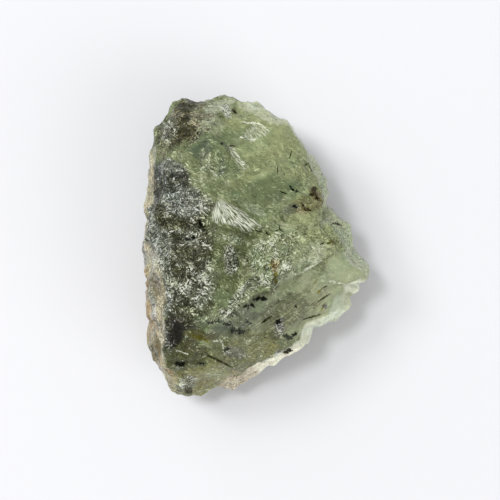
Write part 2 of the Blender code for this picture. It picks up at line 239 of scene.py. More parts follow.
        ("paleGlass", (5.2, 17.0), 1.2, 0.9, -50, 0.6),
        ("paleGlass", (7.2, 14.7), 1.4, 0.8, -55, 0.6),
        ("oliveGlass", (-2.8, -1.5), 6.6, 3.9, 82, 0.95),
        ("oliveGlass", (-1.6, -2.6), 1.0, 2.2, 0, 0.9),
        ("whiteFlecks", (-4.3, -2.4), 2.6, 1.0, 95, 1.0),
        ("sparkling", (-3.4, 1.4), 2.2, 0.8, -10, 0.7),
        ("sparkling", (2.7, -2.6), 5.2, 3.6, 65, 0.95),
        ("frosted", (9.2, -0.8), 1.9, 1.5, 60, 0.7),
        ("paleGlass", (6.0, -1.4), 0.9, 1.5, 0, 0.7),
        ("paleGlass", (4.5, 3.0), 1.6, 0.9, 0, 0.6),
        ("paleGlass", (3.8, -0.2), 0.9, 0.6, 0, 0.5),
        ("greyGlass", (0.0, -11.2), 7.4, 2.6, 20, 1.0),
        ("greyGlass", (3.0, -7.4), 2.0, 1.0, 30, 1.0),
        ("paleGlass", (6.0, -5.9), 4.2, 1.4, 33, 0.9),
        ("paleGlass", (9.4, -8.6), 7.0, 3.6, 35, 1.0),
        ("olive", (5.4, -9.5), 3.8, 2.0, 25, 0.6),
        ("paleTip", (13.0, -8.4), 4.6, 2.4, 45, 0.95),
        ("milky", (12.8, -9.6), 3.0, 1.2, 50, 0.45),
        ("milky", (10.4, -11.6), 3.8, 0.9, 30, 0.8),
        ("milky", (6.6, -15.0), 3.4, 0.9, 42, 0.75),
        ("paleTip", (14.6, -2.9), 3.6, 2.4, 0, 1.0),
        ("milky", (15.9, -6.1), 1.8, 1.0, 10, 0.9),
        ("footOlive", (-1.0, -16.4), 5.6, 2.4, 20, 0.85),
        ("olive", (2.8, -12.6), 1.9, 1.5, 60, 0.45),
        ("lilac", (-3.2, -16.6), 1.8, 0.8, -10, 0.55),
        ("lilac", (3.7, -11.9), 1.3, 0.7, 70, 0.8),
        ("lilac", (3.6, -16.2), 0.8, 0.6, 20, 0.8),
        ("lilac", (10.6, -9.0), 0.5, 0.35, 30, 0.8),
        ("footTan", (-7.4, -17.4), 2.4, 1.2, -20, 0.6),
        ("olive", (-10.8, -16.8), 3.6, 2.2, -5, 0.85),
        ("footTan", (-7.6, -21.0), 5.6, 2.5, 0, 1.0),
        ("cream", (2.2, -18.2), 5.8, 1.1, 32, 0.9),
        ("rosyCream", (-2.6, -21.0), 3.2, 1.2, 23, 0.95),
        ("glitter", (-14.2, -3.4), 7.0, 1.1, 92, 0.6),
        ("whiteFlecks", (-13.6, -5.2), 2.6, 0.9, 95, 0.7),
        ("darkFlank", (-13.4, 3.7), 2.8, 1.0, -8, 0.9),
        ("darkFlank", (-8.3, 3.9), 1.2, 1.2, 0, 0.75),
        ("darkFlank", (-10.4, -0.8), 3.4, 0.7, -8, 0.8),
        ("darkFlank", (-9.2, -9.9), 2.6, 0.9, -25, 0.6),
        ("darkFlank", (-10.6, -10.4), 1.2, 2.2, 0, 0.8),
        ("sparkling", (-6.4, -11.2), 3.0, 1.0, -5, 0.65),
        ("sparkling", (-6.2, 1.8), 1.2, 1.0, 0, 0.6),
        ("whiteFlecks", (-10.2, 2.0), 1.9, 1.1, 30, 0.5),
        ("whiteFlecks", (-8.2, -5.0), 2.8, 1.8, 70, 0.35),
        ("glitter", (-16.4, 2.0), 5.0, 1.3, 93, 0.5),
        ("brownGlass", (8.0, 6.7), 2.6, 1.1, 0, 0.7),
        ("brownGlass", (9.0, 7.9), 1.6, 0.7, 115, 0.8),
        ("gilded", (2.6, -2.6), 0.9, 0.7, 100, 0.8),
        ("frosted", (4.9, -4.8), 1.4, 0.9, 40, 0.55),
        ("frosted", (7.6, -1.8), 1.0, 0.9, 0, 0.5),
        ("sparkling", (7.2, -0.4), 1.6, 0.9, 10, 0.7),
        ("green", (0.6, -2.6), 0.7, 1.4, 0, 0.35),
        ("olive", (-1.6, -2.8), 0.8, 2.0, 0, 0.4),
        ("oliveGlass", (2.4, -6.7), 1.3, 0.7, 30, 0.5),
        ("deepGreen", (2.8, 7.6), 1.7, 0.9, 10, 0.45),
        ("olive", (-6.0, -16.8), 1.4, 1.6, 0, 0.45),
        ("glitter", (-8.0, -7.8), 1.3, 1.6, 0, 0.35),
        ("glitter", (-10.2, 8.6), 1.1, 1.0, 0, 0.40),
        ("sparkling", (-1.4, -7.1), 4.6, 1.2, 45, 0.8),
        ("whiteFlecks", (-0.9, -6.2), 2.4, 0.9, 40, 0.5),
        ("whiteFlecks", (-3.4, -9.0), 1.5, 0.8, 50, 0.6),
        ("paleGlass", (0.5, -9.6), 1.9, 0.6, 20, 0.45),
        ("glitter", (-14.8, -6.9), 0.9, 1.2, 0, 0.4),
        ("paleGlass", (7.2, -0.2), 1.2, 0.8, 0, 0.4),
        ("milky", (11.5, -6.8), 1.2, 0.6, 30, 0.3),
        ("olive", (2.8, -7.0), 1.0, 0.6, 30, 0.5),
        ("whiteFlecks", (-10.8, -21.3), 1.5, 1.2, 0, 0.75),
        ("yellowGlass", (-6.2, -19.6), 2.2, 0.9, -15, 0.35),
        ("paleGlass", (0.2, -12.8), 1.8, 1.1, 20, 0.35),
        ("tan", (-14.6, 14.9), 1.4, 0.7, 70, 0.6),
        ("frosted", (-7.6, 18.6), 2.2, 0.7, 50, 0.3),
        ("yellowGlass", (-4.2, 18.9), 1.8, 0.9, 10, 0.4),
        ("deepGreen", (-12.6, 14.9), 0.9, 1.0, 0, 0.35),
        ("frosted", (2.7, -2.8), 0.7, 0.8, 0, 0.3),
        ("paleTip", (11.5, -6.7), 1.4, 0.9, 30, 0.6),
        ("footTan", (2.2, -15.9), 1.6, 0.8, 35, 0.6),
        ("frosted", (-6.2, 18.4), 1.3, 1.5, 0, 0.4),
        ("yellowGlass", (4.9, 10.8), 1.4, 0.9, 0, 0.6),
        ("darkFlank", (-10.4, -1.6), 1.3, 1.6, 0, 0.5),
        ("darkFlank", (-12.6, -5.8), 1.0, 1.4, 0, 0.35),
        ("darkFlank", (-14.9, 5.0), 0.9, 1.6, 0, 0.5),
        ("olive", (2.8, -13.2), 1.0, 0.9, 0, 0.4),
        ("olive", (2.8, -5.2), 1.0, 0.6, 100, 0.7),
        ("greyGlass", (6.0, 6.3), 1.1, 0.8, 10, 0.8),
        ("olive", (-12.2, -3.4), 0.7, 0.6, 0, 0.8),
        ("olive", (-7.2, -9.1), 0.8, 0.7, 0, 0.8),
        ("olive", (-8.6, -13.9), 2.6, 0.7, -20, 0.9),
        ("whiteFlecks", (-4.6, -10.5), 1.4, 0.7, -25, 0.9),
        ("umber", (-13.4, -12.9), 2.8, 1.5, 82, 1.0),
        ("black", (-12.2, -12.8), 2.1, 1.2, 80, 0.95),
        ("oliveBright", (-9.0, -14.0), 2.0, 0.5, -25, 0.9),
    ),
    # finishes of the underside and low walls, which run into one another: size, salt, contrast, their names
    "mottling": (5.5, 301, 1.5, ("darkFlank", "oliveGlass", "green", "grainy", "frosted")),
    "finishEdge": (1.24, 0.48),  # where a finish ends, in its own half sizes, and over how much it fades
    # the noise that tears its edge: how far, at what size, and its salt
    "coarseTears": (0.34, 1.9, 211),
    "fineTears": (0.24, 0.8, 223),
    # the pale rim, painted light glowing through the thin right edges, and the rind: their middle bearing,
    # how far they reach and fade, the share of wall at which they start, and over how much of it they grow
    "rimGlowSpan": (36, 58, 14, 0.62, 0.36),
    "rindSpan": (188, 56, 8, 0.30, 0.25),
    "spanTears": (0.5, 0.6),  # how much of the tearing noise their borders take, up the wall and across it
    "rimGlowStrength": 0.80,
    "rimGlowBelow": 0.25,  # how much of it carries on below the widest line
    # the rind's grey streaks and orange stains: size, salt, contrast
    "rindStreaks": (1.6, 317, 2.5),
    "rindStretch": (1.0, 0.35, 1.0),  # how much each axis counts for the streaks
    "rindStains": (4.0, 331, 3.0),
    "stainsLess": 0.3,  # what is then taken off, so that the stains stay apart
    "stainStrength": 0.8,
    # where the rind ends on the top: a row of Y, then the X that it ends at there
    "rindBorder": (
        (-23.0, -20.0, -16.0, -10.0, -4.0, -1.0, 1.0, 5.0, 7.0, 13.0, 15.5, 20.0),
        (-11.4, -13.1, -14.2, -14.5, -14.6, -15.4, -17.1, -17.0, -16.4, -16.2, -15.2, -14.4),
    ),
    "rindFade": 0.5,  # over how much it fades there
    # what grew inside the stone, each kind with its colour, how far its outline frays in mm, and its ovals:
    # middle, half length, half width, bearing
    "inclusions": {
        "grains": ((0.004, 0.005, 0.003, 1.0), 1.3, (
            ((0.1, -8.1), 0.6, 0.34, 8), ((1.1, -8.1), 0.6, 0.36, -5), ((-1.6, -9.3), 0.5, 0.40, 20),
            ((-0.6, -9.2), 0.5, 0.22, -8), ((5.9, -13.7), 0.4, 0.25, 20), ((4.9, -16.3), 0.7, 0.42, 20),
            ((3.4, -11.8), 0.6, 0.35, 60), ((-8.8, 3.6), 0.4, 0.80, 0), ((-10.3, 1.2), 1.0, 0.30, 15),
            ((-12.0, -18.3), 0.8, 0.42, 0), ((-10.6, -22.5), 0.6, 0.60, 0), ((5.6, 8.9), 0.4, 0.16, -25),
            ((5.2, 9.3), 0.2, 0.15, 0), ((6.2, 8.6), 0.2, 0.12, 0), ((6.0, 6.3), 0.4, 0.24, 10),
            ((-5.4, 16.0), 0.25, 0.20, 0), ((10.2, 11.2), 0.2, 0.15, 0), ((12.7, 3.5), 0.5, 0.15, -20),
            ((6.2, 2.2), 0.2, 0.15, 0), ((6.0, -9.4), 0.2, 0.18, 0),
        )),
        "blots": ((0.017, 0.021, 0.016, 1.0), 1.9, (
            ((-4.7, -12.0), 0.8, 0.40, -10), ((-3.0, -13.2), 1.2, 0.40, -5), ((-6.2, -11.6), 0.5, 0.30, 20),
            ((-1.2, -11.9), 0.5, 0.25, -15), ((5.0, -14.1), 0.8, 0.38, -15), ((-8.3, -18.2), 0.7, 0.30, 0),
            ((-4.7, -16.1), 0.5, 0.30, 30), ((-7.4, -11.9), 0.5, 0.30, 0), ((-3.9, -12.7), 0.4, 0.25, 40),
        )),
        "browns": ((0.026, 0.018, 0.005, 1.0), 1.2, (
            ((9.0, 8.8), 0.6, 0.38, 70), ((9.3, 7.9), 0.9, 0.28, -55), ((8.7, 8.1), 0.4, 0.25, 30),
            ((7.3, 6.2), 0.5, 0.22, -60), ((8.0, 5.7), 0.6, 0.20, -10),
            ((2.8, -3.9), 0.5, 0.18, 95), ((-3.4, 21.0), 0.4, 0.22, -30),
        )),
        "darkStrokes": ((0.026, 0.027, 0.008, 1.0), 0.35, (
            ((-5.7, -17.9), 2.2, 0.20, -26), ((10.5, -8.0), 1.3, 0.11, 34), ((8.6, -11.0), 1.6, 0.12, 16),
            ((1.6, -11.4), 1.1, 0.18, 34), ((5.3, 14.4), 0.6, 0.09, 75), ((-3.8, 15.7), 0.5, 0.12, -8),
            ((3.6, 2.9), 0.5, 0.10, 100), ((3.9, 2.5), 0.5, 0.09, -30), ((3.1, 2.5), 0.4, 0.09, 20),
            ((1.7, 2.0), 0.5, 0.13, -50), ((2.1, 1.8), 0.4, 0.09, -65), ((0.3, 2.4), 0.6, 0.14, -20),
            ((10.7, -6.3), 0.4, 0.10, 30), ((3.3, 11.9), 0.7, 0.07, 88), ((10.2, 0.4), 0.4, 0.10, 30),
            ((8.4, 12.2), 0.7, 0.10, 118), ((7.8, 12.8), 0.4, 0.12, 30), ((12.0, 3.6), 0.5, 0.10, 25),
            ((4.2, 8.4), 0.6, 0.10, -20),
        )),
        "orangeStrokes": ((0.135, 0.085, 0.020, 1.0), 1.6, (
            ((2.5, -2.2), 0.5, 0.14, 60), ((2.7, -3.5), 0.6, 0.20, 100), ((2.9, -2.8), 0.4, 0.12, 20),
        )),
        "yellowStrokes": ((0.105, 0.098, 0.012, 1.0), 1.2, (
            ((10.3, -9.6), 0.7, 0.13, 60), ((9.9, -6.9), 0.5, 0.12, 55), ((9.2, -5.6), 0.4, 0.10, 50),
            ((2.9, -5.3), 0.7, 0.30, 110), ((-9.3, -14.1), 0.8, 0.22, -22), ((-8.0, -14.6), 0.8, 0.18, -30),
            ((2.2, -3.0), 0.4, 0.12, 100), ((1.5, -3.0), 0.4, 0.14, 40), ((3.0, -4.4), 0.5, 0.20, 90),
            ((11.4, 0.7), 0.5, 0.28, 30),
        )),
    },
    # rusty stains: middle, half length, half width, bearing
    "rustStains": (
        ((2.5, -2.6), 0.6, 0.8, 0), ((9.2, 7.6), 0.6, 1.4, 25), ((7.6, 5.9), 1.1, 0.7, -20),
        ((11.6, 0.6), 0.5, 0.6, 0), ((-15.8, -5.6), 0.8, 3.0, 0),
        ((-15.4, -15.8), 0.7, 2.2, 10), ((9.6, -8.6), 1.2, 0.3, 36),
        ((7.3, 12.1), 0.3, 0.8, 20),
    ),
    # thin bright lines where a chip's edge catches the light
    "brightEdges": (
        ((-3.4, 14.6), (-1.8, 12.9)), ((-5.2, 11.6), (-4.8, 10.6)),
        ((-1.8, 19.6), (-0.3, 19.3), (1.0, 18.7), (2.2, 17.6)), ((-2.4, 17.1), (-1.5, 16.6), (-0.2, 16.4)),
        ((3.0, -6.6), (6.0, -4.8), (10.5, -2.1)), ((11.6, -5.3), (13.4, -5.6), (16.9, -5.8)),
        ((-14.4, 19.2), (-13.2, 18.0)), ((-13.6, 19.4), (-12.4, 17.6)),
        ((-12.2, -15.7), (-10.4, -16.1)), ((-6.9, -15.2), (-5.6, -15.6), (-4.9, -16.6)),
    ),
    "brightEdge": (0.16, 0.03),  # half the width of such a line, and how high it stands
    # where fine streaks run level, where they run slanting, and where the facet under the tip is stained
    # along them
    "streakPlaces": {
        "level": (((4.5, 13.0), 7.5, 4.0, 125), ((7.0, 3.0), 5.0, 3.0, 20)),
        "slanting": (((7.5, -8.6), 8.5, 4.0, 36), ((1.0, -13.0), 6.0, 3.0, 30)),
        "stained": (((7.6, -9.5), 4.6, 2.1, 36),),
    },
    "streakFade": 0.6,  # what is taken off an oval's strength, which then grows to be 1 in the middle again
    # fans of fibres: the point they spread from, then patches, each with its strength and its corners,
    # anticlockwise
    "fans": {
        "middle": ((-6.2, 7.4), (
            (1.0, (
                (-6.5, 3.8), (-1.2, 2.9), (-0.6, 3.4), (-3.4, 5.7), (-5.2, 6.9), (-6.1, 7.1), (-6.9, 4.8),
            )),
            (0.70, (
                (-4.8, 6.2), (-2.6, 2.9), (-0.7, 2.6), (1.2, 3.0), (-0.2, 4.4), (-1.6, 5.3), (-3.4, 6.2),
            )),
        )),
        "top": ((-3.8, 21.5), (
            (0.50, (
                (-2.2, 17.4), (-1.2, 16.5), (0.2, 16.3), (1.4, 16.7), (2.2, 17.6), (1.0, 18.8), (-0.6, 19.4),
            )),
        )),
        "leaf": ((-7.5, 18.6), (
            (0.50, ((-4.4, 15.3), (-3.6, 13.6), (-1.9, 11.9), (-1.0, 12.3), (-3.4, 15.0))),
        )),
    },
    "fanEdge": (0.5, 0.6),  # over how much a patch fades, and its share on the side itself
    "fanLines": 30.0,  # fibres to each radian
    "fibreBend": 2.0,  # how far the clumps push the fibres aside
    "fibreChange": 0.7,  # how fast a fibre changes along its length
    "fanFray": (1.6, 0.8),  # how far coarse and fine noise fray a fan
    # the fibres' pale colour: whitened fibre, and partly a painted sheen
    "fanFibreAndSheenColour": (0.76, 0.79, 0.68, 1.0),
    "fanGapColour": (0.110, 0.125, 0.060, 1.0),
    "rustColour": (0.100, 0.082, 0.026, 1.0),
    "streakColour": (0.52, 0.54, 0.30, 1.0),
    "stainColour": (0.085, 0.078, 0.034, 1.0),
    "edgeColour": (0.80, 0.83, 0.70, 1.0),
    "hairColour": (0.66, 0.70, 0.48, 1.0),
    # the material's noises: the size of their lumps in mm, detail, roughness
    "noises": {
        "bends": (2.2, 2.0, 0.55),
        "patches": (1.3, 3.0, 0.6),
        "clumps": (1.7, 0.5, 0.5),
        "crumbs": (0.14, 1.0, 0.5),
        "hairBreaks": (0.65, 1.0, 0.5),
        "tears": (0.42, 3.0, 0.65),
        "hue": (3.4, 2.0, 0.5),
        "specks": (0.18, 1.0, 0.5),
        "fibres": (1.0, 1.0, 0.5),
        "wallLines": (0.34, 3.0, 0.65),
        "frays": (0.45, 3.0, 0.6),
        "lumps": (1.3, 1.0, 0.5),
    },
    # noises drawn out into strokes: their bearing, how much each axis counts, then as above
    "drawnOut": {
        "threads": (-28, (0.16, 1.0, 0.5), 0.17, 1.0, 0.5),
        "hairs": (-35, (0.4, 1.0, 0.7), 0.60, 1.0, 0.5),
        "folds": (-20, (0.3, 1.0, 1.0), 0.6, 2.0, 0.6),
        "level": (8, (0.16, 1.0, 1.0), 0.28, 2.0, 0.55),
        "slanting": (36, (0.10, 1.0, 1.0), 0.26, 3.0, 0.6),
    },
    "speckStretch": (1.0, 0.30, 0.7),
    "wallStretch": (1.0, 0.16, 1.0),
    # strokes that run round in rings: the rings' size, a stroke's width and length
    "wideCurls": (2.6, 0.145, 0.55),
    "tightCurls": (1.2, 0.135, 0.4),
    "curlShift": 40.0,  # a ring's own number times this moves its strokes on, so that no two are alike
    "bend": 2.2,  # how far in mm the strokes are bent
    "tightBend": 0.6,  # what share of that the tight curls take
    "hairSharpness": 18.0,
    "crumbsInLight": 0.25,  # the crumbs' share in what is light or dark
    "crumbsInSpecks": 0.2,
    "speckShift": (31.0, 17.0, 5.0),  # keeps the specks' noise apart from the other noises
    # from which value each share starts to rise, and where it is whole
    "rises": {
        "tightCurls": (0.46, 0.54),
        "rough": (0.25, 0.75),
        "hairs": (0.61, 0.69),
        "rust": (0.30, 0.90),
        "hue": (0.45, 0.62),
        "flecks": (0.66, 0.76),
        "specks": (0.64, 0.72),
        "fan": (0.25, 0.60),
        "fibres": (0.45, 0.53),
        "level": (0.55, 0.66),
        "slanting": (0.53, 0.62),
        "stain": (0.51, 0.58),
        "wallLines": (0.42, 0.60),
        "brightEdges": (0.60, 0.95),
        "inclusions": (-0.10, 0.12),
        "halo": (0.0, 0.6),
        "height": (2.0, 4.0),  # inclusions fade out down the walls between these heights in mm
    },
    # how strongly each is laid over what is below it
    "covers": {
        "rust": 0.75,
        "hue": 0.5,
        "specks": 0.85,
        "flecks": 0.82,
        "fanGaps": 0.62,
        "fibres": 0.85,
        "streaks": 0.36,
        "stain": 0.75,
        "wallLines": 0.42,
        "brightEdges": 0.65,
        "inclusions": 0.97,
        "halo": 0.22,
    },
    "fleckBreaks": 0.5,  # how much of a pale fleck breaks through an inclusion
    "metal": 0.9,  # keeps the gloss off the inclusions, which it would turn grey
    # amounts that grow with a finish's grain: by how much, and what is there without any
    "byGrain": {
        "shade": (7.5, 0.35),
        "clumps": (0.22, 0.10),
        "facets": (0.97, 0.03),
        "strokes": (0.045, 0.004),
        "lumps": (0.08, 0.03),
    },
    # how much the folds and the patches lighten the ground, how much painted light the crests add and painted
    # shade the creases, and the darkest that it gets
    "foldShade": 0.4,
    "patchShade": 0.6,
    "crestLightCreaseShade": 0.18,
    "darkest": 0.10,
    "hueShift": (0.86, 0.98, 1.02),
    # what a finish's amounts add to the noise that flecks and specks come from, and what the crests add: more
    # pale flecks on crests as painted highlights, more dark specks in creases as painted shade
    "fleckAmount": 0.40,
    "crestHighlightFlecks": 0.045,
    "speckAmount": 0.30,
    "creaseShadeSpecks": 0.06,
    "speckShade": 0.28,  # a speck's colour as a share of the ground's
    "hairLeast": 0.18,  # how much of the hairs shows where a finish has no flecks
    "rustFray": 1.2,  # how far noise frays the rust and breaks up the bright edges
    "edgeFray": 3.0,
    # relief in mm: two sizes of facets with their heights, then the hairs and the fibres
    "wideFacets": (0.36, 0.5),
    "tightFacets": (0.17, 0.35),
    "hairHeight": 0.05,
    "fibreHeight": 0.03,
    # the same all over: how much light goes in and comes out elsewhere, how far each colour of it gets,
    # in what unit, and the gloss
    "shader": {
        "Subsurface Weight": 0.10,
        "Subsurface Radius": (1.0, 1.3, 0.7),
        "Subsurface Scale": 0.8 * mm,
        "Specular IOR Level": 0.24,
        "Specular Tint": (1.0, 0.95, 0.76, 1.0),
        "IOR": 1.6,
    },
}


# a number from 0 to 1 for each whole-number cell: the cell's numbers times large primes, mixed twice
def hashed(cells, salt):
    lowBits = 0xFFFFFFFF
    mixed = np.bitwise_xor.reduce(cells * np.array((73856093, 19349663, 83492791)), axis=-1)
    mixed = (mixed ^ (salt * 374761393)) & lowBits
    mixed = ((mixed ^ (mixed >> 13)) * 1274126177) & lowBits
    mixed = ((mixed ^ (mixed >> 16)) * 668265263) & lowBits
    return (mixed ^ (mixed >> 15)) / (lowBits + 1.0)


# soft lumps from -1 to 1: each cell corner has a random number, eased together across the cell
def smoothNoise(points, size, salt):
    scaled = points / size
    cell = np.floor(scaled).astype(np.int64)
    inside = scaled - cell
    ease = inside * inside * inside * (inside * (inside * 6 - 15) + 10)
    total = np.zeros(len(points))
    for corner in np.ndindex(2, 2, 2):
        corner = np.array(corner)
        weight = np.prod(np.where(corner, ease, 1 - ease), axis=1)
        total += weight * hashed(cell + corner, salt)
    return total * 2 - 1


# noise in three sizes, each half the one before and half as strong, brought back to -1 to 1
def roughNoise(points, size, salt):
    return sum(smoothNoise(points, size / 2**k, salt + k) / 2**k for k in range(3)) / 1.75


# bowls that meet in sharp crests: the lowest of the leaning bowls around each cell's own random middle
def chips(points, size, depth, salt):
    lean, sink, level = prehnite["bowl"]
    scaled = points / size
    cell = np.floor(scaled).astype(np.int64)
    lowest = np.full(len(points), prehnite["far"])
    for step in np.ndindex(3, 3, 3):
        there = cell + np.array(step) - 1
        away = scaled - there - np.stack([hashed(there, salt + k) for k in range(3)], axis=1)
        tilt = np.stack([hashed(there, salt + k) for k in range(3, 6)], axis=1) - 0.5
        bowl = (away**2).sum(axis=1) + lean * (tilt * away).sum(axis=1)
        lowest = np.minimum(lowest, bowl + sink * hashed(there, salt + 6))
    return depth * (lowest - level)


# how far along each ray a plane is: its distance over how squarely the ray faces it
def rayReach(distance, facing):
    return np.where(facing > tiny, distance / np.maximum(facing, tiny), prehnite["far"])


# where each ray meets a tilted plane: (anchor - heart) . normal / (ray . normal)
def faceReach(rays, anchor, bearing, fall, side):
    turn = math.radians(bearing)
    normal = np.array((fall * math.cos(turn), fall * math.sin(turn), side))
    return rayReach((np.array(anchor) - prehnite["heart"]) @ normal, rays @ normal)


# one column of the table of walls, read off at each bearing
def wallColumn(bearings, column):
    walls = np.array(prehnite["walls"], float)
    return np.interp(np.degrees(bearings), walls[:, 0], walls[:, column], period=360)


# where each ray meets the walls: the outline's chord at its bearing, leaning in above and below
# the widest line
def wallReach(rays):
    heart = np.array(prehnite["heart"])
    bearings = np.arctan2(rays[:, 1], rays[:, 0])
    widest, leanUp, leanDown = (wallColumn(bearings, column) for column in (1, 2, 3))
    bearings = bearings + prehnite["wallTurn"] * (rays[:, 2] - (widest - heart[2]) / prehnite["egg"][0])
    flat = np.stack([np.cos(bearings), np.sin(bearings)], axis=1)
    corners = np.array(prehnite["outline"]) - heart[:2]
    cornerBearings = np.arctan2(corners[:, 1], corners[:, 0])
    order = np.argsort(cornerBearings)
    corners, cornerBearings = corners[order], cornerBearings[order]
    wrapped = (bearings + math.pi) % (2 * math.pi) - math.pi
    after = np.searchsorted(cornerBearings, wrapped) % len(corners)
    start = corners[after - 1]
    chord = corners[after] - start
    radius = (start[:, 0] * chord[:, 1] - start[:, 1] * chord[:, 0]) / (
        flat[:, 0] * chord[:, 1] - flat[:, 1] * chord[:, 0]
    )
    level = np.hypot(rays[:, 0], rays[:, 1])
    rise = heart[2] - widest
    return [
        rayReach(radius - leanUp * rise, level + leanUp * rays[:, 2]),
        rayReach(radius + leanDown * rise, level - leanDown * rays[:, 2]),
    ]


# the nearest face along each ray, with a soft minimum so that edges are slightly worn
def stoneReach(rays):
    reaches = wallReach(rays)
    reaches += [faceReach(rays, *face, 1.0) for face in prehnite["topFaces"].values()]
    reaches += [faceReach(rays, *face, -1.0) for face in prehnite["lowFaces"].values()]
    reaches = np.minimum(np.array(reaches), prehnite["far"])
    nearest = reaches.min(axis=0)
    soft = prehnite["softness"]
    return reaches, nearest - soft * np.log(np.exp((nearest - reaches) / soft).sum(axis=0))


# where each point seems to lie from high above: the line from the eye through it, met with the level plane
def seenPlaces(points):
    eye = np.array(prehnite["eye"])
    reach = (eye[2] - prehnite["measuredAt"]) / (eye[2] - points[:, 2:])
    return np.hstack([eye[:2] + (points[:, :2] - eye[:2]) * reach, points[:, 2:]])


# how far a point lies along and across a turned oval, counted in the oval's half sizes
def ovalPlace(points, middle, halfLength, halfWidth, bearing):
    turn = math.radians(bearing)
    away = points[:, :2] - np.array(middle)
    along = (away[:, 0] * math.cos(turn) + away[:, 1] * math.sin(turn)) / halfLength
    across = (away[:, 1] * math.cos(turn) - away[:, 0] * math.sin(turn)) / halfWidth
    return along, across


# a turned bell curve: height times e to the minus squared distance
def mound(points, middle, halfLength, halfWidth, bearing, height):
    along, across = ovalPlace(points, middle, halfLength, halfWidth, bearing)
    return height * np.exp(-(along**2 + across**2))


# a step down to the right of a line, which climbs back over its reach
def ledge(points, wander, start, end, drop, reach):
    line = np.array(end) - np.array(start)
    length = math.hypot(*line)
    line /= length
    away = points[:, :2] - np.array(start)
    along = away @ line
    right = away[:, 0] * line[1] - away[:, 1] * line[0] + wander
    ends = np.clip(np.minimum(along, length - along) / prehnite["ledgeEnd"] + 0.5, 0, 1)
    step = np.clip(right / prehnite["ledgeWidth"] + 0.5, 0, 1)
    return -drop * ends * step * np.exp(-np.maximum(right, 0) / reach)


# how far the broken surface stands off the plain faces, measured along the rays
def relief(points, grain):
    low, high = prehnite["topFades"]
    upper = np.clip((points[:, 2] - low) / (high - low), 0, 1)
    wanderBy, wanderSize, wanderSalt = prehnite["ledgeWander"]
    wander = wanderBy * smoothNoise(points, wanderSize, wanderSalt)
    seen = seenPlaces(points)
    placed = sum(mound(seen, *values) for values in prehnite["mounds"].values())
    placed += sum(ledge(seen, wander, *values) for values in prehnite["ledges"].values())
    smooth = np.clip(sum(mound(seen, *values) for values in prehnite["smoothPatches"].values()), 0, 1)
    broken = chips(points, *prehnite["middleChips"]) + chips(points, *prehnite["smallChips"])
    swellSize, swellHeight, swellSalt = prehnite["swell"]
    height = upper * placed + chips(points, *prehnite["largeChips"])
    height += (1 - upper * smooth) * broken + swellHeight * smoothNoise(points, swellSize, swellSalt)
    fine = chips(points, *prehnite["grainChips"]) + chips(points, *prehnite["crumbChips"])
    return height + grain * fine + upper * prehnite["brightEdge"][1] * edgeShare(seen)


# how close each point is to a bright edge: 1 on the line, half at its half width, 0 further out
def edgeShare(points):
    nearest = np.full(len(points), prehnite["far"])
    for line in prehnite["brightEdges"]:
        for start, end in zip(line[:-1], line[1:]):
            start, along = np.array(start), np.array(end) - np.array(start)
            away = points[:, :2] - start
            part = np.clip(away @ along / (along @ along), 0, 1)
            nearest = np.minimum(nearest, np.hypot(*(away - part[:, None] * along).T))
    return np.clip(1.5 - nearest / prehnite["brightEdge"][0], 0, 1)


